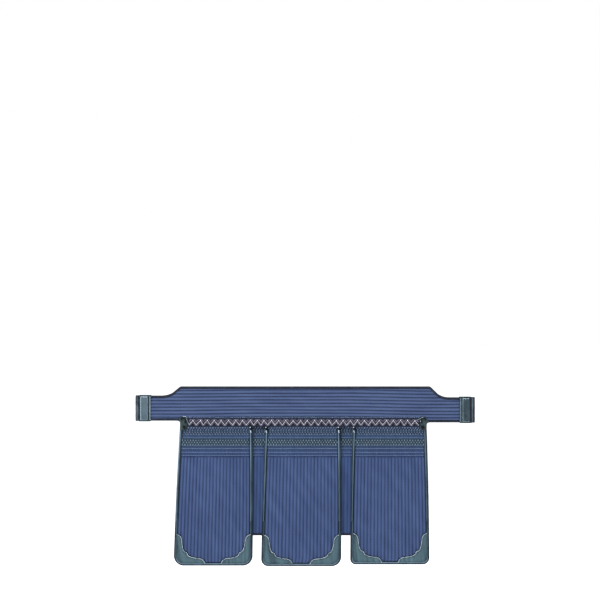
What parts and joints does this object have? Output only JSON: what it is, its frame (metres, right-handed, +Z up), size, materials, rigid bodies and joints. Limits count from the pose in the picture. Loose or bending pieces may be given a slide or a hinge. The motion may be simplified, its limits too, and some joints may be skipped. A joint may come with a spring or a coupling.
{
  "type": "kendo waist protector",
  "caption": "Padded waist protector: ridged quilted belt with leather end tabs, laced to quilted front flaps with leather corners, over shorter rear flaps.",
  "frame": {"origin": "middle of the belt's flat back, at half its height", "axes": "+X along the belt to the right seen from the front, +Y back towards the wearer, +Z up"},
  "size_m": [0.7312, 0.0239, 0.3861],
  "materials": {
    "indigo_cloth": "quilted indigo cotton",
    "binding_cloth": "dark woven binding",
    "leather": "matt teal-grey leather",
    "piping": "dark rolled leather edge with a pale rubbed bead",
    "lacing_ground": "dark purple-brown band under zigzag lacing",
    "thong": "black leather thong",
    "strap_cloth": "folded cotton strap"
  },
  "bodies": {
    "root": {"belt_bottom_binding_left": "binding_cloth", "belt_bottom_binding_right": "binding_cloth", "belt_pad": "indigo_cloth", "belt_top_binding": "binding_cloth", "end_tab_left": "leather", "end_tab_right": "leather", "flap_centre_corner_patch_left": "leather", "flap_centre_corner_patch_right": "leather", "flap_centre_hem_binding": "piping", "flap_centre_pad": "indigo_cloth", "flap_centre_piping_left": "piping", "flap_centre_piping_right": "piping", "flap_left_corner_patch_left": "leather", "flap_left_corner_patch_right": "leather", "flap_left_hem_binding": "piping", "flap_left_pad": "indigo_cloth", "flap_left_piping_left": "piping", "flap_left_piping_right": "piping", "flap_right_corner_patch_left": "leather", "flap_right_corner_patch_right": "leather", "flap_right_hem_binding": "piping", "flap_right_pad": "indigo_cloth", "flap_right_piping_left": "piping", "flap_right_piping_right": "piping", "gap_knot_centre_flap_left": "thong", "gap_knot_centre_flap_right": "thong", "gap_knot_left_flap": "thong", "gap_knot_right_flap": "thong", "join_band": "lacing_ground", "rear_flap_left_hem_binding": "binding_cloth", "rear_flap_left_pad": "indigo_cloth", "rear_flap_right_hem_binding": "binding_cloth", "rear_flap_right_pad": "indigo_cloth", "shoulder_knot_left": "thong", "shoulder_knot_right": "thong", "shoulder_patch_left": "leather", "shoulder_patch_right": "leather", "shoulder_thong_left": "thong", "shoulder_thong_right": "thong", "strap_fold_left": "strap_cloth", "strap_fold_right": "strap_cloth"}
  },
  "joints": []
}
